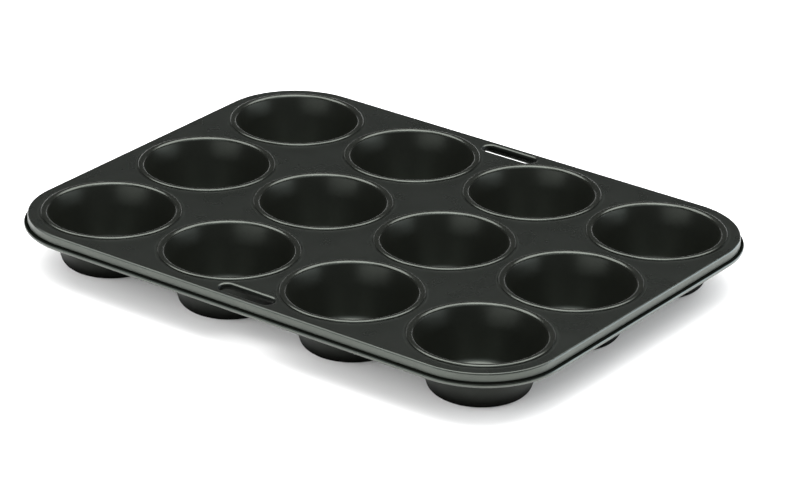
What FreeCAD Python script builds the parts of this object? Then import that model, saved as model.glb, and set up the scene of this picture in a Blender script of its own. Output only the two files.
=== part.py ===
import FreeCAD, Part
import math
import os
import Sketcher

# Twelve-cup muffin tin, made the way a bakery pan is made: one pressed top sheet with a
# wired rim and two hanging slots, and twelve separately drawn cups seated in its collars.
# Millimetres, +Z up, +X along the long side, origin on the table under the tin's centre.

DIMENSIONS = [
    ("cup_pitch", 83.0, "distance between neighbouring cup axes, both ways"),
    ("columns", 4, "cups along the long side"),
    ("rows", 3, "cups along the short side"),
    ("cup_height", 31.0, "table to the crest of a cup's lip"),
    ("cup_sheet", 0.5, "thickness of the drawn cups"),
    ("crest_radius", 37.0, "cup axis to where the lip's level crest begins"),
    ("crest_width", 0.5, "level width of the lip's crest"),
    ("lip_inner_bend", 2.2, "radius of the lip where it turns down into the cup"),
    ("lip_outer_bend", 1.5, "radius of the lip where it turns down to the top sheet"),
    ("lip_rise", 1.0, "height of the lip's crest above the top sheet"),
    ("lip_gap", 0.25, "free edge of the lip up from the top sheet"),
    ("wall_taper", 16.55, "lean of the cup wall from vertical, in degrees"),
    ("base_bend", 5.0, "outside radius between cup wall and cup floor"),
    ("pan_sheet", 0.6, "thickness of the top sheet"),
    ("collar_depth", 2.0, "straight part of the collar around each cup"),
    ("fit_gap", 0.05, "clearance between pieces that are pressed together"),
    ("rim_margin", 46.0, "corner cup's axis to the outer face of the skirt"),
    ("edge_bend", 1.0, "outside radius between top and skirt"),
    ("bead_drop", 6.1, "top face down to the centre of the rolled bead"),
    ("wire_diameter", 1.4, "steel wire inside the rolled bead"),
    ("bead_wrap", 300.0, "how far the sheet is rolled around the wire, in degrees"),
    ("wire_gap", 1.0, "butt gap between the two ends of the wire"),
    ("slot_offset", 120.3, "centre of the tin to the middle of a hanging slot"),
    ("slot_length", 34.4, "clear length of a slot"),
    ("slot_width", 8.2, "clear width of a slot"),
    ("slot_bend", 2.2, "radius of the edge turned down around a slot"),
    ("slot_depth", 3.2, "top face down to the end of the slot's turned edge"),
]

# Expressions that several sketches share.
TOP_FACE = "(Size.cup_height - Size.lip_rise)"
LIP_CENTRE_HEIGHT = "(Size.cup_height - Size.lip_inner_bend)"
LIP_EDGE_HEIGHT = f"({TOP_FACE} + Size.lip_gap)"
CORNER_CUP_X = "Size.cup_pitch * (Size.columns - 1) / 2"
CORNER_CUP_Y = "Size.cup_pitch * (Size.rows - 1) / 2"
COLLAR_BEND = "(Size.lip_inner_bend - Size.lip_rise)"
COLLAR_RADIUS = (
    "(Size.crest_radius - (Size.lip_rise - Size.cup_sheet - Size.fit_gap)"
    " / cos(Size.wall_taper * 1 deg))"
)
BEAD_INSIDE = "(Size.wire_diameter / 2 + Size.fit_gap)"
WIRE_OFFSET = f"(Size.rim_margin + {BEAD_INSIDE})"
BEAD_HEIGHT = f"({TOP_FACE} - Size.bead_drop)"
SLOT_END = "((Size.slot_length - Size.slot_width) / 2)"
WALL_ANGLE = "90 - Size.wall_taper"

# Geometry handles as the sketcher numbers them.
START, END, CENTRE = 1, 2, 3
ROOT_POINT = (-1, 1)
X_AXIS = -1

doc = FreeCAD.newDocument("MuffinTin")
sizes = doc.addObject("Spreadsheet::Sheet", "Size")
for row, (alias, value, meaning) in enumerate(DIMENSIONS, start=1):
    sizes.set(f"A{row}", meaning)
    sizes.set(f"B{row}", str(value))
    sizes.setAlias(f"B{row}", alias)
doc.recompute()


def worth(expression):
    """The present value of an expression on the sheet of sizes."""
    return float(sizes.evalExpression(expression))


def polar(centre, radius, degrees):
    """The point at an angle on a circle."""
    turn = math.radians(degrees)
    return (centre[0] + radius * math.cos(turn), centre[1] + radius * math.sin(turn))


# ---------------------------------------------------------------- sketching
def new_sketch(body, name, role):
    """A sketch on one of the body's own origin planes."""
    sketch = body.newObject("Sketcher::SketchObject", name)
    plane = next(item for item in body.Origin.OriginFeatures if item.Role == role)
    sketch.AttachmentSupport = [(plane, "")]
    sketch.MapMode = "FlatFace"
    return sketch


def line(sketch, start, end):
    segment = Part.LineSegment(FreeCAD.Vector(*start, 0), FreeCAD.Vector(*end, 0))
    return sketch.addGeometry(segment, False)


def arc(sketch, centre, radius, first, last):
    """An arc turning left from the first angle to the last, in degrees."""
    circle = Part.Circle(FreeCAD.Vector(*centre, 0), FreeCAD.Vector(0, 0, 1), radius)
    bow = Part.ArcOfCircle(circle, math.radians(first), math.radians(last))
    return sketch.addGeometry(bow, False)


def circle(sketch, centre, radius):
    ring = Part.Circle(FreeCAD.Vector(*centre, 0), FreeCAD.Vector(0, 0, 1), radius)
    return sketch.addGeometry(ring, False)


def rule(sketch, kind, *where):
    """A geometric constraint."""
    sketch.addConstraint(Sketcher.Constraint(kind, *where))


def measure(sketch, expression, kind, *where):
    """A dimension bound to the sheet of sizes."""
    value = worth(expression)
    if kind == "Angle":
        value = math.radians(value)
    number = sketch.addConstraint(Sketcher.Constraint(kind, *where, value))
    sketch.setExpression(f"Constraints[{number}]", expression)


def place(sketch, point, across, up):
    """Hold a point at two bound distances from the sketch's origin."""
    measure(sketch, across, "DistanceX", *ROOT_POINT, *point)
    measure(sketch, up, "DistanceY", *ROOT_POINT, *point)


def rounded_outline(sketch, radius, gap=None):
    """A rectangle whose corners are concentric with the corner cups.

    It starts and ends at the middle of the +X side, with an optional gap between the ends.
    """
    x, y, r = worth(CORNER_CUP_X), worth(CORNER_CUP_Y), worth(radius)
    half_gap = worth(gap) / 2 if gap else 0.0
    rising = line(sketch, (x + r, half_gap), (x + r, y))
    corner_ne = arc(sketch, (x, y), r, 0, 90)
    back = line(sketch, (x, y + r), (-x, y + r))
    corner_nw = arc(sketch, (-x, y), r, 90, 180)
    left = line(sketch, (-x - r, y), (-x - r, -y))
    corner_sw = arc(sketch, (-x, -y), r, 180, 270)
    front = line(sketch, (-x, -y - r), (x, -y - r))
    corner_se = arc(sketch, (x, -y), r, 270, 360)
    closing = line(sketch, (x + r, -y), (x + r, -half_gap))
    run = [rising, corner_ne, back, corner_nw, left, corner_sw, front, corner_se, closing]
    for first, second in zip(run, run[1:]):
        rule(sketch, "Tangent", first, END, second, START)
    for corner, side_x, side_y in (
        (corner_ne, "", ""), (corner_nw, "-", ""), (corner_sw, "-", "-"), (corner_se, "", "-"),
    ):
        place(sketch, (corner, CENTRE), side_x + CORNER_CUP_X, side_y + CORNER_CUP_Y)
        measure(sketch, radius, "Radius", corner)
    rule(sketch, "Vertical", rising)
    if gap:
        rule(sketch, "Vertical", closing)
        measure(sketch, f"{gap} / 2", "DistanceY", *ROOT_POINT, rising, START)
        measure(sketch, f"-{gap} / 2", "DistanceY", *ROOT_POINT, closing, END)
    else:
        rule(sketch, "PointOnObject", rising, START, X_AXIS)
        rule(sketch, "Coincident", closing, END, rising, START)


def slot_outline(sketch, half_width, side):
    """A slot with round ends, from the middle of its outer long edge."""
    c, w = worth(SLOT_END), worth(half_width)
    y = side * worth("Size.slot_offset")
    outer = y + w
    inner = y - w
    lead = line(sketch, (0, outer), (-c, outer))
    end_left = arc(sketch, (-c, y), w, 90, 270)
    straight = line(sketch, (-c, inner), (c, inner))
    end_right = arc(sketch, (c, y), w, 270, 450)
    tail = line(sketch, (c, outer), (0, outer))
    run = [lead, end_left, straight, end_right, tail]
    for first, second in zip(run, run[1:]):
        rule(sketch, "Tangent", first, END, second, START)
    for end, direction in ((end_left, "-"), (end_right, "")):
        place(sketch, (end, CENTRE), direction + SLOT_END, f"{side} * Size.slot_offset")
        measure(sketch, half_width, "Radius", end)
    rule(sketch, "Horizontal", lead)
    rule(sketch, "Coincident", tail, END, lead, START)
    measure(sketch, "0", "DistanceX", *ROOT_POINT, lead, START)


def sweep(body, name, section, path):
    """Add a section carried along a path."""
    pipe = body.newObject("PartDesign::AdditivePipe", name)
    pipe.Profile = (section, [""])
    pipe.Spine = (path, [f"Edge{number + 1}" for number in range(path.GeometryCount)])
    body.Tip = pipe
    return pipe


def new_body(label):
    body = doc.addObject("PartDesign::Body", label)
    body.Label = label
    return body


# ---------------------------------------------------------------- top sheet
def make_top_sheet():
    """Flat plate, wired rim, twelve collars and two hanging slots, from one sheet."""
    body = new_body("top_sheet")
    add_plate(body)
    add_rim(body)
    add_collars(body)
    for side, name in ((1, "BackSlot"), (-1, "FrontSlot")):
        add_slot_edge(body, name, side)
    return body


def add_plate(body):
    sketch = new_sketch(body, "PlateOutline", "XY_Plane")
    sketch.setExpression("AttachmentOffset.Base.z", f"{TOP_FACE} - Size.pan_sheet")
    rounded_outline(sketch, "Size.rim_margin - Size.edge_bend")
    for column in range(int(worth("Size.columns"))):
        for row in range(int(worth("Size.rows"))):
            across = f"Size.cup_pitch * ({column} - (Size.columns - 1) / 2)"
            along = f"Size.cup_pitch * ({row} - (Size.rows - 1) / 2)"
            hole = circle(sketch, (worth(across), worth(along)), worth(COLLAR_RADIUS))
            place(sketch, (hole, CENTRE), across, along)
            measure(sketch, COLLAR_RADIUS, "Radius", hole)
    for side in (1, -1):
        slot_outline(sketch, "Size.slot_width / 2 + Size.slot_bend", side)
    plate = body.newObject("PartDesign::Pad", "Plate")
    plate.Profile = sketch
    plate.setExpression("Length", "Size.pan_sheet")
    body.Tip = plate


def add_rim(body):
    """The edge bend, the skirt and the bead rolled outwards around the wire."""
    path = new_sketch(body, "SkirtLine", "XY_Plane")
    rounded_outline(path, "Size.rim_margin")

    sketch = new_sketch(body, "RimSection", "XZ_Plane")
    skirt_face = f"{CORNER_CUP_X} + Size.rim_margin"
    x, top, bead = worth(skirt_face), worth(TOP_FACE), worth(BEAD_HEIGHT)
    bend, thick = worth("Size.edge_bend"), worth("Size.pan_sheet")
    inside, wrap = worth(BEAD_INSIDE), worth("Size.bead_wrap")
    bend_centre = (x - bend, top - bend)
    bead_centre = (x + inside, bead)
    outside = inside + thick
    bend_top = arc(sketch, bend_centre, bend, 0, 90)
    joint = line(sketch, (x - bend, top), (x - bend, top - thick))
    bend_under = arc(sketch, bend_centre, bend - thick, 0, 90)
    skirt_in = line(sketch, (x - thick, top - bend), (x - thick, bead))
    roll_out = arc(sketch, bead_centre, outside, 180, 180 + wrap)
    roll_end = line(
        sketch, polar(bead_centre, inside, 180 + wrap), polar(bead_centre, outside, 180 + wrap)
    )
    roll_in = arc(sketch, bead_centre, inside, 180, 180 + wrap)
    skirt_out = line(sketch, (x, bead), (x, top - bend))
    rule(sketch, "Coincident", bend_top, END, joint, START)
    rule(sketch, "Coincident", joint, END, bend_under, END)
    rule(sketch, "Tangent", bend_under, START, skirt_in, START)
    rule(sketch, "Tangent", skirt_in, END, roll_out, START)
    rule(sketch, "Coincident", roll_out, END, roll_end, END)
    rule(sketch, "Coincident", roll_end, START, roll_in, END)
    rule(sketch, "Tangent", roll_in, START, skirt_out, START)
    rule(sketch, "Tangent", skirt_out, END, bend_top, START)
    rule(sketch, "Coincident", bend_under, CENTRE, bend_top, CENTRE)
    rule(sketch, "Coincident", roll_in, CENTRE, roll_out, CENTRE)
    rule(sketch, "Vertical", joint)
    rule(sketch, "Vertical", bend_top, CENTRE, bend_top, END)
    rule(sketch, "Vertical", skirt_in)
    rule(sketch, "Vertical", skirt_out)
    rule(sketch, "PointOnObject", roll_in, CENTRE, roll_end)
    measure(sketch, "Size.edge_bend", "Radius", bend_top)
    measure(sketch, "Size.pan_sheet", "DistanceY", joint, END, joint, START)
    measure(sketch, skirt_face, "DistanceX", *ROOT_POINT, bend_top, START)
    measure(sketch, TOP_FACE, "DistanceY", *ROOT_POINT, bend_top, END)
    measure(sketch, BEAD_INSIDE, "Radius", roll_in)
    measure(sketch, BEAD_HEIGHT, "DistanceY", *ROOT_POINT, roll_in, CENTRE)
    measure(sketch, "Size.bead_wrap - 180", "Angle", roll_end)
    sweep(body, "Rim", sketch, path)


def add_collars(body):
    """Each cup hole's edge is turned down into a tapered collar that holds the cup."""
    sketch = new_sketch(body, "CollarSection", "XZ_Plane")
    sketch.setExpression("AttachmentOffset.Base.x", "-" + CORNER_CUP_X)
    sketch.setExpression("AttachmentOffset.Base.z", CORNER_CUP_Y)
    bend, thick = worth(COLLAR_BEND), worth("Size.pan_sheet")
    centre = (worth(COLLAR_RADIUS), worth(LIP_CENTRE_HEIGHT))
    taper, depth = worth("Size.wall_taper"), worth("Size.collar_depth")
    bend_end = 180 - taper
    inner_top, outer_top = polar(centre, bend, bend_end), polar(centre, bend - thick, bend_end)
    down = -90 - taper
    inner_low, outer_low = polar(inner_top, depth, down), polar(outer_top, depth, down)
    bend_top = arc(sketch, centre, bend, 90, bend_end)
    face_in = line(sketch, inner_low, inner_top)
    edge = line(sketch, inner_low, outer_low)
    face_out = line(sketch, outer_low, outer_top)
    bend_under = arc(sketch, centre, bend - thick, 90, bend_end)
    joint = line(sketch, (centre[0], centre[1] + bend - thick), (centre[0], centre[1] + bend))
    rule(sketch, "Tangent", bend_top, END, face_in, END)
    rule(sketch, "Coincident", face_in, START, edge, START)
    rule(sketch, "Coincident", edge, END, face_out, START)
    rule(sketch, "Tangent", face_out, END, bend_under, END)
    rule(sketch, "Coincident", bend_under, START, joint, START)
    rule(sketch, "Coincident", joint, END, bend_top, START)
    rule(sketch, "Coincident", bend_under, CENTRE, bend_top, CENTRE)
    rule(sketch, "Vertical", joint)
    rule(sketch, "Vertical", bend_top, CENTRE, bend_top, START)
    rule(sketch, "Perpendicular", edge, face_in)
    rule(sketch, "Parallel", face_in, face_out)
    place(sketch, (bend_top, CENTRE), COLLAR_RADIUS, LIP_CENTRE_HEIGHT)
    measure(sketch, COLLAR_BEND, "Radius", bend_top)
    measure(sketch, "Size.pan_sheet", "DistanceY", joint, START, joint, END)
    measure(sketch, WALL_ANGLE, "Angle", face_in)
    measure(sketch, "Size.collar_depth", "Distance", face_in)
    collar = body.newObject("PartDesign::Revolution", "Collar")
    collar.Profile = sketch
    collar.ReferenceAxis = (sketch, ["V_Axis"])
    body.Tip = collar

    collars = body.newObject("PartDesign::LinearPattern", "Collars")
    collars.Originals = [collar]
    collars.Direction = (sketch, ["H_Axis"])
    collars.Mode = "Spacing"
    collars.setExpression("Offset", "Size.cup_pitch")
    collars.setExpression("Occurrences", "Size.columns")
    collars.Direction2 = (sketch, ["N_Axis"])
    collars.Reversed2 = True
    collars.Mode2 = "Spacing"
    collars.setExpression("Offset2", "Size.cup_pitch")
    collars.setExpression("Occurrences2", "Size.rows")
    body.Tip = collars


def add_slot_edge(body, name, side):
    """The edge of a hanging slot, turned down all round."""
    path = new_sketch(body, name + "Line", "XY_Plane")
    slot_outline(path, "Size.slot_width / 2", side)

    sketch = new_sketch(body, name + "Section", "YZ_Plane")
    face = f"{side} * Size.slot_offset + Size.slot_width / 2"
    low_edge = f"{TOP_FACE} - Size.slot_depth"
    y, top, low = worth(face), worth(TOP_FACE), worth(low_edge)
    bend, thick = worth("Size.slot_bend"), worth("Size.pan_sheet")
    centre = (y + bend, top - bend)
    bend_top = arc(sketch, centre, bend, 90, 180)
    face_in = line(sketch, (y, top - bend), (y, low))
    edge = line(sketch, (y, low), (y + thick, low))
    face_out = line(sketch, (y + thick, low), (y + thick, top - bend))
    bend_under = arc(sketch, centre, bend - thick, 90, 180)
    joint = line(sketch, (y + bend, top - thick), (y + bend, top))
    rule(sketch, "Tangent", bend_top, END, face_in, START)
    rule(sketch, "Coincident", face_in, END, edge, START)
    rule(sketch, "Coincident", edge, END, face_out, START)
    rule(sketch, "Tangent", face_out, END, bend_under, END)
    rule(sketch, "Coincident", bend_under, START, joint, START)
    rule(sketch, "Coincident", joint, END, bend_top, START)
    rule(sketch, "Coincident", bend_under, CENTRE, bend_top, CENTRE)
    rule(sketch, "Vertical", joint)
    rule(sketch, "Vertical", face_in)
    rule(sketch, "Vertical", face_out)
    rule(sketch, "Horizontal", edge)
    rule(sketch, "Vertical", bend_top, CENTRE, bend_top, START)
    measure(sketch, "Size.slot_bend", "Radius", bend_top)
    measure(sketch, "Size.pan_sheet", "DistanceY", joint, START, joint, END)
    place(sketch, (face_in, END), face, low_edge)
    measure(sketch, TOP_FACE, "DistanceY", *ROOT_POINT, bend_top, START)
    sweep(body, name + "Edge", sketch, path)


# ---------------------------------------------------------------- rim wire
def make_rim_wire():
    """The stiffening wire inside the bead, bent round the tin with its ends butted."""
    body = new_body("rim_wire")
    path = new_sketch(body, "WireLine", "XY_Plane")
    path.setExpression("AttachmentOffset.Base.z", BEAD_HEIGHT)
    rounded_outline(path, WIRE_OFFSET, "Size.wire_gap")
    section = new_sketch(body, "WireSection", "XZ_Plane")
    section.setExpression("AttachmentOffset.Base.z", "-Size.wire_gap / 2")
    across = f"{CORNER_CUP_X} + {WIRE_OFFSET}"
    ring = circle(section, (worth(across), worth(BEAD_HEIGHT)), worth("Size.wire_diameter / 2"))
    place(section, (ring, CENTRE), across, BEAD_HEIGHT)
    measure(section, "Size.wire_diameter / 2", "Radius", ring)
    sweep(body, "Wire", section, path)
    return body


# ---------------------------------------------------------------- cups
def make_cup(label, column, row):
    """One drawn cup: flat floor, tapered wall, and a lip that arches over the collar."""
    body = new_body(label)
    sketch = new_sketch(body, label + "_section", "XZ_Plane")
    thick, taper = worth("Size.cup_sheet"), worth("Size.wall_taper")
    base = worth("Size.base_bend")
    inner, outer = worth("Size.lip_inner_bend"), worth("Size.lip_outer_bend")
    crest = (worth("Size.crest_radius"), worth("Size.cup_height"))
    crest_end = (crest[0] + worth("Size.crest_width"), crest[1])
    lip_in_centre = (crest[0], crest[1] - inner)
    lip_out_centre = (crest_end[0], crest_end[1] - outer)
    lean = math.radians(taper)
    rise = lip_in_centre[1] - base
    reach = (base - thick + inner + rise * math.sin(lean)) / math.cos(lean)
    base_centre = (crest[0] - reach, base)
    free_edge = worth(LIP_EDGE_HEIGHT) - lip_out_centre[1]
    top_angle = math.degrees(math.asin(free_edge / outer))
    under_angle = math.degrees(math.asin(free_edge / (outer - thick)))
    wall_top, wall_low = 180 - taper, 360 - taper

    floor_in = line(sketch, (0, thick), (base_centre[0], thick))
    base_in = arc(sketch, base_centre, base - thick, 270, wall_low)
    wall_in = line(
        sketch, polar(base_centre, base - thick, wall_low), polar(lip_in_centre, inner, wall_top)
    )
    lip_in = arc(sketch, lip_in_centre, inner, 90, wall_top)
    lip_top = line(sketch, crest, crest_end)
    lip_out = arc(sketch, lip_out_centre, outer, top_angle, 90)
    lip_edge = line(
        sketch,
        polar(lip_out_centre, outer, top_angle),
        polar(lip_out_centre, outer - thick, under_angle),
    )
    under_out = arc(sketch, lip_out_centre, outer - thick, under_angle, 90)
    under_top = line(sketch, (crest_end[0], crest[1] - thick), (crest[0], crest[1] - thick))
    under_in = arc(sketch, lip_in_centre, inner - thick, 90, wall_top)
    wall_out = line(
        sketch, polar(lip_in_centre, inner - thick, wall_top), polar(base_centre, base, wall_low)
    )
    base_out = arc(sketch, base_centre, base, 270, wall_low)
    floor_out = line(sketch, (base_centre[0], 0), (0, 0))
    axis = line(sketch, (0, 0), (0, thick))

    rule(sketch, "Tangent", floor_in, END, base_in, START)
    rule(sketch, "Tangent", base_in, END, wall_in, START)
    rule(sketch, "Tangent", wall_in, END, lip_in, END)
    rule(sketch, "Tangent", lip_in, START, lip_top, START)
    rule(sketch, "Tangent", lip_top, END, lip_out, END)
    rule(sketch, "Coincident", lip_out, START, lip_edge, START)
    rule(sketch, "Coincident", lip_edge, END, under_out, START)
    rule(sketch, "Coincident", under_out, END, under_top, START)
    rule(sketch, "Tangent", under_top, END, under_in, START)
    rule(sketch, "Tangent", under_in, END, wall_out, START)
    rule(sketch, "Tangent", wall_out, END, base_out, END)
    rule(sketch, "Tangent", base_out, START, floor_out, START)
    rule(sketch, "Coincident", floor_out, END, axis, START)
    rule(sketch, "Coincident", axis, END, floor_in, START)
    rule(sketch, "Coincident", floor_out, END, *ROOT_POINT)
    rule(sketch, "Horizontal", floor_in)
    rule(sketch, "Horizontal", floor_out)
    rule(sketch, "Vertical", axis)
    rule(sketch, "Coincident", under_in, CENTRE, lip_in, CENTRE)
    rule(sketch, "Coincident", under_out, CENTRE, lip_out, CENTRE)
    rule(sketch, "Coincident", base_in, CENTRE, base_out, CENTRE)
    rule(sketch, "Horizontal", lip_top)
    rule(sketch, "Vertical", under_out, END, lip_top, END)
    rule(sketch, "Horizontal", under_top)
    rule(sketch, "Horizontal", lip_edge)
    measure(sketch, "Size.cup_sheet", "DistanceY", axis, START, axis, END)
    measure(sketch, "Size.cup_sheet", "DistanceY", under_top, END, lip_top, START)
    measure(sketch, "Size.crest_width", "DistanceX", lip_top, START, lip_top, END)
    measure(sketch, "Size.lip_inner_bend", "Radius", lip_in)
    measure(sketch, "Size.lip_outer_bend", "Radius", lip_out)
    measure(sketch, "Size.base_bend", "Radius", base_out)
    place(sketch, (lip_in, START), "Size.crest_radius", "Size.cup_height")
    measure(sketch, LIP_EDGE_HEIGHT, "DistanceY", *ROOT_POINT, lip_out, START)
    measure(sketch, WALL_ANGLE, "Angle", wall_in)

    shell = body.newObject("PartDesign::Revolution", label + "_shell")
    shell.Profile = sketch
    shell.ReferenceAxis = (sketch, ["V_Axis"])
    body.Tip = shell
    body.setExpression("Placement.Base.x", f"Size.cup_pitch * ({column} - (Size.columns - 1) / 2)")
    body.setExpression("Placement.Base.y", f"Size.cup_pitch * ({row} - (Size.rows - 1) / 2)")
    return body


# ---------------------------------------------------------------- assembly and export
ROW_NAMES = ("front", "middle", "back")

pieces = [make_top_sheet(), make_rim_wire()]
for row, row_name in enumerate(ROW_NAMES):
    for column in range(int(worth("Size.columns"))):
        pieces.append(make_cup(f"cup_{row_name}_{column + 1}", column, row))
doc.recompute()

for item in doc.Objects:
    if "Invalid" in item.State or "Error" in item.State:
        raise RuntimeError(f"{item.Name} did not compute: {item.State}")
for piece in pieces:
    shape = piece.Shape
    if shape.isNull() or not shape.isValid() or len(shape.Solids) != 1:
        raise RuntimeError(f"{piece.Label} is not one valid solid")

os.makedirs("parts", exist_ok=True)
for piece in pieces:
    piece.Shape.exportStep(f"parts/{piece.Label}.step")
    print(f"{piece.Label}: {piece.Shape.Volume:.1f} mm3")
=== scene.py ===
import math

import bmesh
import bpy
from mathutils import Matrix, Vector
from mathutils.geometry import delaunay_2d_cdt


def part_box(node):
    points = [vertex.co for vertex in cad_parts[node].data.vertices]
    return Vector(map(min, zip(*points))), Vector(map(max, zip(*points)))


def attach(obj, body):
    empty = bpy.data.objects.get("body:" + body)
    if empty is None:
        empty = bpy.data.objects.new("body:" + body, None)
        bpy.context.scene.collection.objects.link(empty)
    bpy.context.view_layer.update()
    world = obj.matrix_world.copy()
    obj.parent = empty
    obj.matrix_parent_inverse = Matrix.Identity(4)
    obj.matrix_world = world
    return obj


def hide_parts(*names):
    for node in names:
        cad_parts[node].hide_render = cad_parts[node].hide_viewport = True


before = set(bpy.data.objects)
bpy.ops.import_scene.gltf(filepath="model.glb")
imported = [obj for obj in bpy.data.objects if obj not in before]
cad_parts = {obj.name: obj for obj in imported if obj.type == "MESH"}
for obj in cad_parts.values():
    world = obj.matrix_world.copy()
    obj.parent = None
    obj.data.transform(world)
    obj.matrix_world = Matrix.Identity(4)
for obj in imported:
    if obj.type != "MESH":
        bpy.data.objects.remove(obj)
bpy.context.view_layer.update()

# The looks of a twelve-cup muffin tin. Sizes are in millimetres and angles in degrees;
# meshes are scaled to metres as they are made.
MM = 0.001

# ---------------------------------------------------------------- sizes
CUP_SHEET = 0.5
CREST_WIDTH = 0.5
LIP_INNER_BEND = 2.2
LIP_OUTER_BEND = 1.5
LIP_RISE = 1.0
LIP_GAP = 0.25
WALL_TAPER = 16.55
BASE_BEND = 5.0
PAN_SHEET = 0.6
COLLAR_DEPTH = 2.0
FIT_GAP = 0.05
EDGE_BEND = 1.0
BEAD_WRAP = 300.0
WIRE_RADIUS = 0.7
SLOT_LENGTH = 34.4
SLOT_WIDTH = 8.2
SLOT_OFFSET = 120.3
SLOT_BEND = 2.2
SLOT_DEPTH = 3.2
CUT_EDGE = 0.12

# How finely the meshes are cut: counts round a circle or a corner, and steps in between.
CUP_SEGMENTS = 192
CORNER_SEGMENTS = 48
SIDE_STEP = 6.0
ARC_STEP = 5.0
SLOT_STEP = 2.0
SUPPORT = 0.35
GRID_STEP = 5.0
FLOOR_STEPS = 8
WALL_STEPS = 10
SAME_POINT = 1e-5
SHARP_ANGLE = 50


def cup_nodes():
    """The CAD's cups, by name."""
    return sorted(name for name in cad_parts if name.startswith("cup_"))


def cup_centre(node):
    """The cup's axis in millimetres."""
    low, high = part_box(node)
    return ((low.x + high.x) / 2 / MM, (low.y + high.y) / 2 / MM)


CUP_CENTRES = {node: cup_centre(node) for node in cup_nodes()}
CUP_LOW, CUP_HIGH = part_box(cup_nodes()[0])
SHEET_LOW, SHEET_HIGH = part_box("top_sheet")
CUP_HEIGHT = CUP_HIGH.z / MM
TOP = SHEET_HIGH.z / MM
BEAD_INSIDE = WIRE_RADIUS + FIT_GAP
BEAD_OUTSIDE = BEAD_INSIDE + PAN_SHEET
BEAD_HEIGHT = SHEET_LOW.z / MM + BEAD_OUTSIDE
CORNER_X = max(x for x, y in CUP_CENTRES.values())
CORNER_Y = max(y for x, y in CUP_CENTRES.values())
COLUMNS = len({round(x) for x, y in CUP_CENTRES.values()})
ROWS = len({round(y) for x, y in CUP_CENTRES.values()})
PITCH = 2 * CORNER_X / (COLUMNS - 1)
RIM_MARGIN = SHEET_HIGH.x / MM - CORNER_X - BEAD_INSIDE - BEAD_OUTSIDE

# The lip ends level, just clear of the top sheet, at the cup's greatest radius.
LIP_EDGE = TOP + LIP_GAP
LIP_RADIUS = (CUP_HIGH.x - CUP_LOW.x) / 2 / MM
LIP_OUT_CENTRE = CUP_HEIGHT - LIP_OUTER_BEND
LIP_END_ANGLE = math.degrees(math.asin((LIP_EDGE - LIP_OUT_CENTRE) / LIP_OUTER_BEND))
CREST_RADIUS = LIP_RADIUS - LIP_OUTER_BEND * math.cos(math.radians(LIP_END_ANGLE)) - CREST_WIDTH
LEAN = math.radians(WALL_TAPER)
COLLAR_BEND = LIP_INNER_BEND - LIP_RISE
COLLAR_RADIUS = CREST_RADIUS - (LIP_RISE - CUP_SHEET - FIT_GAP) / math.cos(LEAN)

# A slot's round ends are centred this far from its middle.
SLOT_REACH = (SLOT_LENGTH - SLOT_WIDTH) / 2

# The flat top ends here: from a cup's axis, from a slot's middle line and from a corner's centre.
COLLAR_FLAT = COLLAR_RADIUS + SUPPORT
SLOT_FLAT = SLOT_WIDTH / 2 + SLOT_BEND + SUPPORT
OUTLINE_FLAT = RIM_MARGIN - EDGE_BEND - SUPPORT


# ---------------------------------------------------------------- outlines of sections
class Pen:
    """Draws a section as a person would describe it: go straight, turn along an arc."""

    def __init__(self, across, up, heading):
        self.points = [(across, up)]
        self.heading = math.radians(heading)

    def go(self, distance, steps=1):
        across, up = self.points[-1]
        for step in range(1, steps + 1):
            run = distance * step / steps
            self.points.append(
                (across + run * math.cos(self.heading), up + run * math.sin(self.heading))
            )
        return self

    def turn(self, radius, degrees):
        """Follow an arc, to the left for positive degrees and to the right for negative."""
        side = 1 if degrees > 0 else -1
        across, up = self.points[-1]
        centre = (
            across - side * radius * math.sin(self.heading),
            up + side * radius * math.cos(self.heading),
        )
        steps = max(3, round(abs(degrees) / ARC_STEP))
        start = self.heading
        for step in range(1, steps + 1):
            self.heading = start + math.radians(degrees) * step / steps
            self.points.append(
                (
                    centre[0] + side * radius * math.sin(self.heading),
                    centre[1] - side * radius * math.cos(self.heading),
                )
            )
        return self


def cup_section():
    """Floor, tapered wall and lip, out along the inside and back along the outside."""
    rise = 90 - WALL_TAPER
    base = BASE_BEND - CUP_SHEET
    lift = CUP_HEIGHT - LIP_INNER_BEND - BASE_BEND
    reach = (base + LIP_INNER_BEND + lift * math.sin(LEAN)) / math.cos(LEAN)
    floor = CREST_RADIUS - reach
    wall = (lift + (base + LIP_INNER_BEND) * math.sin(LEAN)) / math.cos(LEAN)
    under_bend = LIP_OUTER_BEND - CUP_SHEET
    under_angle = math.degrees(math.asin((LIP_EDGE - LIP_OUT_CENTRE) / under_bend))
    edge = LIP_OUTER_BEND * math.cos(math.radians(LIP_END_ANGLE))
    edge -= under_bend * math.cos(math.radians(under_angle))
    pen = Pen(0, CUP_SHEET, 0)
    pen.go(floor, FLOOR_STEPS).turn(base, rise).go(wall, WALL_STEPS)
    pen.turn(LIP_INNER_BEND, -rise).go(CREST_WIDTH).turn(LIP_OUTER_BEND, LIP_END_ANGLE - 90)
    pen.heading = math.pi
    pen.go(edge, 2)
    pen.heading = math.radians(90 + under_angle)
    pen.turn(under_bend, 90 - under_angle).go(CREST_WIDTH).turn(LIP_INNER_BEND - CUP_SHEET, rise)
    pen.go(wall, WALL_STEPS).turn(BASE_BEND, -rise).go(floor, FLOOR_STEPS)
    return pen.points


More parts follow.
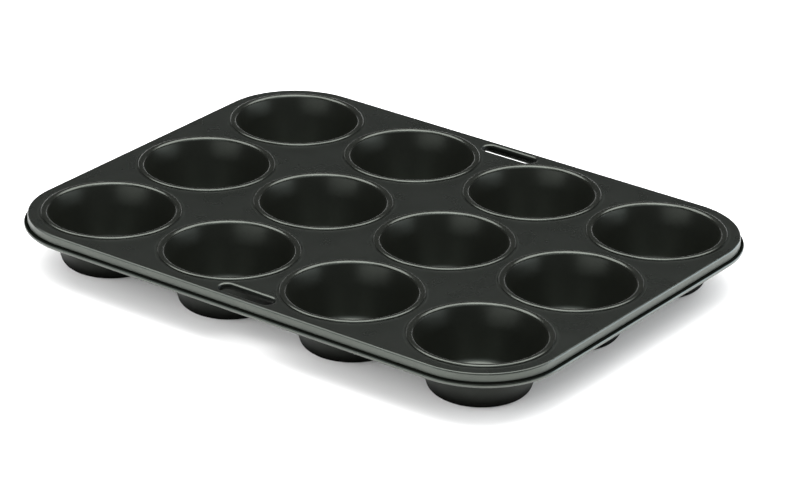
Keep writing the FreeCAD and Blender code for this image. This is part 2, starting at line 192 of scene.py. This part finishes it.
def collar_section():
    """From the flat top, down the collar's inner face, round its cut edge and up again."""
    rise = 90 - WALL_TAPER
    pen = Pen(COLLAR_FLAT, TOP, 180)
    pen.go(SUPPORT).turn(COLLAR_BEND, rise).go(COLLAR_DEPTH - CUT_EDGE, 2)
    pen.turn(CUT_EDGE, 90).go(PAN_SHEET - 2 * CUT_EDGE).turn(CUT_EDGE, 90)
    pen.go(COLLAR_DEPTH - CUT_EDGE, 2).turn(COLLAR_BEND - PAN_SHEET, -rise).go(SUPPORT)
    return pen.points


def slot_section():
    """The slot's turned edge, measured from the slot's middle line."""
    straight = SLOT_DEPTH - SLOT_BEND - CUT_EDGE
    pen = Pen(SLOT_FLAT, TOP, 180)
    pen.go(SUPPORT).turn(SLOT_BEND, 90).go(straight)
    pen.turn(CUT_EDGE, 90).go(PAN_SHEET - 2 * CUT_EDGE).turn(CUT_EDGE, 90)
    pen.go(straight).turn(SLOT_BEND - PAN_SHEET, -90).go(SUPPORT)
    return pen.points


def rim_section():
    """From the flat top over the edge, down the skirt and round the rolled bead."""
    skirt = TOP - EDGE_BEND - BEAD_HEIGHT
    pen = Pen(OUTLINE_FLAT, TOP, 0)
    pen.go(SUPPORT).turn(EDGE_BEND, -90).go(skirt, 3)
    pen.turn(BEAD_INSIDE, BEAD_WRAP)
    pen.heading += math.radians(-90)
    pen.go(PAN_SHEET, 2)
    pen.heading += math.radians(-90)
    pen.turn(BEAD_OUTSIDE, -BEAD_WRAP)
    pen.go(skirt, 3).turn(EDGE_BEND - PAN_SHEET, 90).go(SUPPORT)
    return pen.points


# ---------------------------------------------------------------- meshes
def make_piece(name, vertices, faces, slot, *replaced):
    """A smooth mesh piece in metres that stands for CAD nodes and rides on the tin."""
    mesh = bpy.data.meshes.new(name)
    mesh.from_pydata([Vector(v) * MM for v in vertices], [], faces)
    surface = bmesh.new()
    surface.from_mesh(mesh)
    bmesh.ops.recalc_face_normals(surface, faces=surface.faces)
    surface.to_mesh(mesh)
    surface.free()
    mesh.shade_smooth()
    mesh.set_sharp_from_angle(angle=math.radians(SHARP_ANGLE))
    mesh.validate()
    piece = bpy.data.objects.new(name, mesh)
    bpy.context.scene.collection.objects.link(piece)
    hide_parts(*replaced)
    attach(piece, "root")
    return piece


def bridge(first, second):
    """Faces between two closed rings of vertex numbers."""
    count = len(first)
    return [
        (first[i], first[(i + 1) % count], second[(i + 1) % count], second[i])
        for i in range(count)
    ]


class Shell:
    """Collects vertices and faces, giving points at the same place the same number."""

    def __init__(self):
        self.vertices = []
        self.faces = []
        self.numbers = {}

    def vertex(self, point):
        key = tuple(round(value, 4) for value in point)
        if key not in self.numbers:
            self.numbers[key] = len(self.vertices)
            self.vertices.append(key)
        return self.numbers[key]

    def ring(self, points):
        return [self.vertex(point) for point in points]

    def sweep(self, section, place):
        """Rings of faces along a section; place(across) gives the ring's points at that width."""
        rings = [self.ring([(x, y, up) for x, y in place(across)]) for across, up in section]
        for first, second in zip(rings, rings[1:]):
            self.faces.extend(bridge(first, second))
        return rings


def circle_points(centre, radius, segments=CUP_SEGMENTS):
    turns = [2 * math.pi * i / segments for i in range(segments)]
    return [(centre[0] + radius * math.cos(t), centre[1] + radius * math.sin(t)) for t in turns]


def make_cup(node):
    """A lathe-turned cup; its floor closes on a point at the axis, inside and outside."""
    centre = CUP_CENTRES[node]
    shell = Shell()
    section = cup_section()
    rings = shell.sweep(section[1:-1], lambda across: circle_points(centre, across))
    inner = shell.vertex((*centre, section[0][1]))
    outer = shell.vertex((*centre, section[-1][1]))
    for i, (low, high) in enumerate(zip(rings[0], rings[-1])):
        following = (i + 1) % CUP_SEGMENTS
        shell.faces.append((inner, low, rings[0][following]))
        shell.faces.append((outer, rings[-1][following], high))
    name = node.replace("cup_", "drawn_cup_")
    return make_piece(name, shell.vertices, shell.faces, "cups", node)


def rounded_points(radius):
    """A rounded rectangle whose corners are centred on the corner cups."""
    points = []
    corners = ((1, 1, 0), (-1, 1, 90), (-1, -1, 180), (1, -1, 270))
    for index, (side_x, side_y, start) in enumerate(corners):
        centre = (side_x * CORNER_X, side_y * CORNER_Y)
        for step in range(CORNER_SEGMENTS + 1):
            turn = math.radians(start + 90 * step / CORNER_SEGMENTS)
            points.append(
                (centre[0] + radius * math.cos(turn), centre[1] + radius * math.sin(turn))
            )
        along_x = side_x * side_y > 0
        length = 2 * (CORNER_X if along_x else CORNER_Y)
        steps = round(length / SIDE_STEP)
        begin = points[-1]
        turn = math.radians(start + 180)
        for step in range(1, steps):
            run = length * step / steps
            points.append((begin[0] + run * math.cos(turn), begin[1] + run * math.sin(turn)))
    return points


def slot_points(side, radius):
    """A slot with round ends."""
    middle = side * SLOT_OFFSET
    points = []
    for end, start in ((1, -90), (-1, 90)):
        for step in range(CORNER_SEGMENTS + 1):
            turn = math.radians(start + 180 * step / CORNER_SEGMENTS)
            across = end * SLOT_REACH + radius * math.cos(turn)
            points.append((across, middle + radius * math.sin(turn)))
        steps = round(2 * SLOT_REACH / SLOT_STEP)
        for step in range(1, steps):
            run = 2 * SLOT_REACH * step / steps
            points.append((end * (SLOT_REACH - run), middle + end * radius))
    return points


def off_outline(x, y):
    """How far a point lies inside the flat's outline."""
    beyond = math.hypot(max(abs(x) - CORNER_X, 0), max(abs(y) - CORNER_Y, 0))
    return OUTLINE_FLAT - beyond


def off_cups(x, y):
    """How far a point lies from the nearest cup's collar, where the flat ends."""
    nearest = min(math.hypot(x - cx, y - cy) for cx, cy in CUP_CENTRES.values())
    return nearest - COLLAR_FLAT


def off_slots(x, y):
    """How far a point lies from the nearest slot's turned edge, where the flat ends."""
    beyond = math.hypot(max(abs(x) - SLOT_REACH, 0), abs(y) - SLOT_OFFSET)
    return beyond - SLOT_FLAT


def on_flat(x, y, margin=0.0):
    """Whether a point is on the flat, more than the margin from all of its edges."""
    return min(off_outline(x, y), off_cups(x, y), off_slots(x, y)) > margin


def flat_triangles(loops):
    """Triangles between the loops, with a grid of points inside to keep them even."""
    points = []
    edges = []
    for loop in loops:
        first = len(points)
        points.extend(loop)
        edges.extend((first + i, first + (i + 1) % len(loop)) for i in range(len(loop)))
    across = int((CORNER_X + RIM_MARGIN) / GRID_STEP)
    along = int((CORNER_Y + RIM_MARGIN) / GRID_STEP)
    for i in range(-across, across + 1):
        for j in range(-along, along + 1):
            x, y = i * GRID_STEP, j * GRID_STEP
            if on_flat(x, y, GRID_STEP / 2):
                points.append((x, y))
    vectors = [Vector(point) for point in points]
    _, _, triangles, origins, _, _ = delaunay_2d_cdt(vectors, edges, [], 0, SAME_POINT)
    corners = [points[origin[0]] for origin in origins]
    kept = []
    for triangle in triangles:
        trio = [corners[i] for i in triangle]
        if on_flat(sum(x for x, y in trio) / 3, sum(y for x, y in trio) / 3):
            kept.append(trio)
    return kept


def make_top_sheet():
    """The flat, its collars, its slots and its rim, all one closed skin."""
    shell = Shell()
    shell.sweep(rim_section(), rounded_points)
    for centre in CUP_CENTRES.values():
        shell.sweep(collar_section(), lambda across: circle_points(centre, across))
    for side in (1, -1):
        shell.sweep(slot_section(), lambda across: slot_points(side, across))
    loops = [rounded_points(OUTLINE_FLAT)]
    loops += [circle_points(centre, COLLAR_FLAT) for centre in CUP_CENTRES.values()]
    loops += [slot_points(side, SLOT_FLAT) for side in (1, -1)]
    for triangle in flat_triangles(loops):
        shell.faces.append([shell.vertex((x, y, TOP)) for x, y in triangle])
        shell.faces.append([shell.vertex((x, y, TOP - PAN_SHEET)) for x, y in reversed(triangle)])
    return make_piece("pressed_sheet", shell.vertices, shell.faces, "top_sheet", "top_sheet")


# ---------------------------------------------------------------- materials
class Nodes:
    """A material's node tree, with short calls to add and join nodes."""

    def __init__(self, name):
        self.material = bpy.data.materials.new(name)
        self.material.use_nodes = True
        self.tree = self.material.node_tree
        self.shader = self.tree.nodes["Principled BSDF"]
        self.place = self.add("ShaderNodeTexCoord").outputs["Object"]

    def add(self, kind, **settings):
        node = self.tree.nodes.new(kind)
        for key, value in settings.items():
            setattr(node, key, value)
        return node

    def join(self, source, target):
        self.tree.links.new(source, target)

    def noise(self, scale, detail=2.0, roughness=0.5):
        node = self.add("ShaderNodeTexNoise")
        node.inputs["Scale"].default_value = scale
        node.inputs["Detail"].default_value = detail
        node.inputs["Roughness"].default_value = roughness
        self.join(self.place, node.inputs["Vector"])
        return node.outputs["Fac"]

    def spread(self, source, low, high):
        """Map 0.3..0.7, where noise mostly lies, to a range."""
        node = self.add("ShaderNodeMapRange")
        node.inputs["From Min"].default_value = 0.3
        node.inputs["From Max"].default_value = 0.7
        node.inputs["To Min"].default_value = low
        node.inputs["To Max"].default_value = high
        self.join(source, node.inputs["Value"])
        return node.outputs["Result"]

    def compute(self, operation, *values):
        node = self.add("ShaderNodeMath", operation=operation)
        for socket, value in zip(node.inputs, values):
            if isinstance(value, float):
                socket.default_value = value
            else:
                self.join(value, socket)
        return node.outputs["Value"]

    def step(self, source, outside, edge):
        """Rise smoothly from nothing to one between two distances in millimetres."""
        node = self.add("ShaderNodeMapRange", interpolation_type="SMOOTHSTEP")
        node.inputs["From Min"].default_value = outside * MM
        node.inputs["From Max"].default_value = edge * MM
        self.join(source, node.inputs["Value"])
        return node.outputs["Result"]

    def axes(self):
        split = self.add("ShaderNodeSeparateXYZ")
        self.join(self.place, split.inputs["Vector"])
        return split.outputs["X"], split.outputs["Y"], split.outputs["Z"]

    def band(self, low, high, fade):
        """One between two heights in millimetres, fading to nothing outside them."""
        height = self.axes()[2]
        return self.compute(
            "MULTIPLY", self.step(height, low - fade, low), self.step(height, high + fade, high)
        )

    def around_cups(self, inside, outside):
        """One near the cups' lips, fading out between two distances from the cups' axes."""
        squares = []
        for coordinate, count in zip(self.axes(), (COLUMNS, ROWS)):
            scaled = self.compute("MULTIPLY_ADD", coordinate, 1 / (PITCH * MM), (count - 1) / 2)
            rounded = self.compute("ROUND", scaled)
            cell = self.compute("MINIMUM", self.compute("MAXIMUM", rounded, 0.0), count - 1.0)
            offset = self.compute("MULTIPLY", self.compute("SUBTRACT", scaled, cell), PITCH * MM)
            squares.append(self.compute("MULTIPLY", offset, offset))
        distance = self.compute("SQRT", self.compute("ADD", *squares))
        return self.step(distance, outside, inside)

    def blend(self, factor, first, second):
        node = self.add("ShaderNodeMix", data_type="RGBA")
        node.inputs["A"].default_value = (*first, 1)
        node.inputs["B"].default_value = (*second, 1)
        self.join(factor, node.inputs["Factor"])
        return node.outputs["Result"]

    def bump(self, source, depth, before=None):
        """Raise the surface by up to depth millimetres."""
        node = self.add("ShaderNodeBump")
        node.inputs["Strength"].default_value = 1.0
        node.inputs["Distance"].default_value = depth * MM
        self.join(source, node.inputs["Height"])
        if before is not None:
            self.join(before, node.inputs["Normal"])
        return node.outputs["Normal"]


def coating(name, dark, light, roughness, sheen, worn=None, shade_band=None, ringed=None):
    """Satin non-stick coating on steel: faint mottling, orange peel and fine grain.

    Bands are heights and the fade at their ends, in millimetres. Where the coating is worn it
    is rougher or smoother by the worn band's last value. In the shade band, painted shade cuts
    its gloss and roughens it. A ringed coating also carries painted shade round the cups,
    between two distances from their axes.
    """
    nodes = Nodes(name)
    shader = nodes.shader
    shader.inputs["IOR"].default_value = 1.8
    shader.inputs["Specular Tint"].default_value = (0.92, 1.0, 0.89, 1)
    mottling = nodes.noise(35, 4, 0.6)
    nodes.join(nodes.blend(mottling, dark, light), shader.inputs["Base Color"])
    gloss = nodes.spread(mottling, sheen - 0.03, sheen + 0.03)
    rough = nodes.spread(nodes.noise(60, 2, 0.5), roughness - 0.015, roughness + 0.015)
    if worn is not None:
        rough = nodes.compute("MULTIPLY_ADD", nodes.band(*worn[:3]), worn[3], rough)
    # Painted shade: inside the shade band the gloss is cut and the roughness raised.
    if shade_band is not None:
        painted_shade = nodes.band(*shade_band)
        if ringed is not None:
            # Painted shade in a noise-broken ring round each cup, just outside its lip.
            patchy = nodes.spread(nodes.noise(90, 3, 0.6), 0.55, 0.95)
            ring = nodes.compute("MULTIPLY", nodes.around_cups(*ringed), patchy)
            painted_shade = nodes.compute("MAXIMUM", painted_shade, ring)
        gloss = nodes.compute("MULTIPLY", gloss, nodes.compute("SUBTRACT", 1.0, painted_shade))
        rough = nodes.compute("MULTIPLY_ADD", painted_shade, 0.3, rough)
    nodes.join(gloss, shader.inputs["Specular IOR Level"])
    nodes.join(rough, shader.inputs["Roughness"])
    waves = nodes.bump(nodes.noise(14, 1, 0.4), 0.02)
    peel = nodes.bump(nodes.noise(700, 2, 0.5), 0.003, waves)
    nodes.join(nodes.bump(nodes.noise(2600, 2, 0.5), 0.001, peel), shader.inputs["Normal"])
    return nodes.material


def coat_sheet(sheet):
    """Scuffed on the skirt, with painted shade between the skirt and the bead and round the cups,
    and a darker, less glossy copy of the coating inside the slots as painted shade.
    """
    sheet.data.materials.append(
        coating(
            "sheet_coating",
            (0.0048, 0.0057, 0.0043),
            (0.0066, 0.0076, 0.0060),
            roughness=0.28,
            sheen=0.5,
            worn=(BEAD_HEIGHT + BEAD_OUTSIDE, TOP - EDGE_BEND, 0.5, 0.18),
            # Painted shade between the skirt and the bead.
            shade_band=(BEAD_HEIGHT + 1.0, BEAD_HEIGHT + BEAD_OUTSIDE, 0.25),
            # Painted shade in a ring just outside each cup's lip.
            ringed=(LIP_RADIUS + 0.5, LIP_RADIUS + 1.7),
        )
    )
    # Painted shade: a darker, less glossy copy of the coating inside the slots.
    sheet.data.materials.append(
        coating(
            "slot_painted_shade",
            (0.0028, 0.0034, 0.0026),
            (0.0040, 0.0046, 0.0036),
            roughness=0.5,
            sheen=0.05,
        )
    )
    for face in sheet.data.polygons:
        # The walls inside the slots take the painted-shade copy.
        x, y, z = face.center / MM
        face.material_index = int(off_slots(x, y) < 0 and z < TOP - SLOT_BEND / 4)


def coat_cups(cups):
    """Polished on the lips; the faces that look down get a darker, less glossy copy of the
    coating as painted shade, darkest at the foot.
    """
    inside = coating(
        "cup_coating",
        (0.0084, 0.0092, 0.0068),
        (0.0110, 0.0119, 0.0092),
        roughness=0.34,
        sheen=0.5,
        worn=(CUP_HEIGHT - LIP_RISE, CUP_HEIGHT, 0.3, -0.12),
    )
    # Painted shade: a darker, less glossy copy of the coating for the faces that look down.
    underside = coating(
        "cup_underside_painted_shade",
        (0.0030, 0.0033, 0.0026),
        (0.0044, 0.0048, 0.0040),
        roughness=0.40,
        sheen=0.19,
        # Painted shade, darkest at the foot and fading out over about 13 mm up.
        shade_band=(0.0, 1.0, 12.0),
    )
    for cup in cups:
        cup.data.materials.append(inside)
        cup.data.materials.append(underside)
        # Faces that look down take the painted-shade copy.
        for face in cup.data.polygons:
            face.material_index = int(face.normal.z < -0.1)


def drawn_steel(name):
    """Bright drawn wire, with fine lines from the die."""
    nodes = Nodes(name)
    shader = nodes.shader
    shader.inputs["Metallic"].default_value = 1.0
    streaks = nodes.noise(900, 3, 0.6)
    colour = nodes.blend(streaks, (0.32, 0.31, 0.30), (0.50, 0.50, 0.49))
    nodes.join(colour, shader.inputs["Base Color"])
    nodes.join(nodes.spread(streaks, 0.28, 0.42), shader.inputs["Roughness"])
    nodes.join(nodes.bump(streaks, 0.01), shader.inputs["Normal"])
    return nodes.material


def make_wire_steel(wire):
    wire.data.materials.clear()
    wire.data.materials.append(drawn_steel("drawn_steel"))


def floor_paint(name):
    nodes = Nodes(name)
    nodes.shader.inputs["Roughness"].default_value = 0.7
    nodes.shader.inputs["Emission Color"].default_value = (1, 1, 1, 1)
    nodes.shader.inputs["Emission Strength"].default_value = 0.075
    nodes.join(
        nodes.blend(nodes.noise(1.5, 2), (0.86, 0.86, 0.86), (0.88, 0.88, 0.88)),
        nodes.shader.inputs["Base Color"],
    )
    return nodes.material


# ---------------------------------------------------------------- studio
def make_floor():
    """A white floor 12 m square, just clear of the cups' bottoms."""
    half, level = 6.0, -0.1 * MM
    corners = [(-half, -half), (half, -half), (half, half), (-half, half)]
    mesh = bpy.data.meshes.new("floor")
    mesh.from_pydata([(x, y, level) for x, y in corners], [], [(0, 1, 2, 3)])
    floor = bpy.data.objects.new("floor", mesh)
    bpy.context.scene.collection.objects.link(floor)
    floor.data.materials.append(floor_paint("floor_paint"))
    return floor


def make_softbox(name, azimuth, elevation, distance, width, height, power, colour=(1, 1, 1)):
    """An area light facing the tin: distance and size in metres, power in watts.

    Azimuth 0 is the -Y side, and grows towards +X.
    """
    light = bpy.data.lights.new(name, "AREA")
    light.shape = "RECTANGLE"
    light.size = width
    light.size_y = height
    light.energy = power
    light.color = colour
    lamp = bpy.data.objects.new(name, light)
    a, e = math.radians(azimuth), math.radians(elevation)
    away = Vector((math.sin(a) * math.cos(e), -math.cos(a) * math.cos(e), math.sin(e)))
    lamp.location = away * distance
    lamp.rotation_euler = away.to_track_quat("Z", "Y").to_euler()
    bpy.context.scene.collection.objects.link(lamp)
    return lamp


def light_only(lamp, *pieces):
    """Let a softbox light these pieces alone, as flags round it would on a real set."""
    receivers = bpy.data.collections.new(lamp.name + "_receivers")
    for piece in pieces:
        receivers.objects.link(piece)
    lamp.light_linking.receiver_collection = receivers


def make_studio(sheet, cups):
    floor = make_floor()
    world = bpy.data.worlds.new("studio")
    world.use_nodes = True
    background = world.node_tree.nodes["Background"]
    background.inputs["Color"].default_value = (0.95, 0.97, 1.0, 1)
    background.inputs["Strength"].default_value = 0.08
    bpy.context.scene.world = world
    light_only(make_softbox("sky", 0, 90, 1.0, 9.0, 9.0, 290), floor)
    light_only(make_softbox("front_sky", -25, 22, 2.6, 4.0, 1.6, 60), floor)
    light_only(make_softbox("side_sky", 144, 22, 2.6, 4.0, 1.6, 45, (0.94, 0.98, 1.0)), floor)
    make_softbox("overhead", 216, 75, 2.2, 5.0, 1.8, 98)
    make_softbox("top", 36, 80, 2.2, 1.2, 0.8, 11)
    make_softbox("left", 0, 6, 2.4, 2.3, 0.45, 5)
    make_softbox("right", 120, 6, 2.4, 2.3, 0.45, 5.5, (0.92, 0.96, 1.0))
    make_softbox("behind", 216, 3, 2.8, 4.0, 0.3, 5)
    light_only(make_softbox("front", 45, 55, 2.6, 3.6, 1.6, 11, (0.92, 0.97, 1.0)), sheet, *cups)
    light_only(make_softbox("left_card", -42, 26, 2.6, 2.6, 2.3, 18, (0.86, 0.94, 1.0)), sheet)
    light_only(make_softbox("right_card", 150, 13, 2.6, 2.0, 1.2, 34, (0.76, 0.88, 1.0)), sheet)
    bpy.context.scene.view_settings.view_transform = "Standard"


def make_camera():
    """At the left of the tin's near corner, looking down on it."""
    azimuth, elevation, roll = math.radians(35.95), math.radians(24.45), math.radians(1.28)
    target = Vector((24.6, -18.0, CUP_HEIGHT)) * MM
    distance = 2146.7 * MM
    back = Vector(
        (
            math.sin(azimuth) * math.cos(elevation),
            -math.cos(azimuth) * math.cos(elevation),
            math.sin(elevation),
        )
    )
    right = Vector((math.cos(azimuth), math.sin(azimuth), 0))
    up = back.cross(right)
    tilted_right = right * math.cos(roll) + up * math.sin(roll)
    tilted_up = up * math.cos(roll) - right * math.sin(roll)
    data = bpy.data.cameras.new("camera")
    data.lens = 178.5
    data.sensor_width = 36.0
    camera = bpy.data.objects.new("camera", data)
    turn = Matrix((tilted_right, tilted_up, back)).transposed().to_4x4()
    camera.matrix_world = Matrix.Translation(target + back * distance) @ turn
    bpy.context.scene.collection.objects.link(camera)
    bpy.context.scene.camera = camera


# ---------------------------------------------------------------- the tin
make_camera()
sheet = make_top_sheet()
cups = [make_cup(node) for node in cup_nodes()]
make_studio(sheet, cups)

coat_sheet(sheet)
coat_cups(cups)
make_wire_steel(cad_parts["rim_wire"])
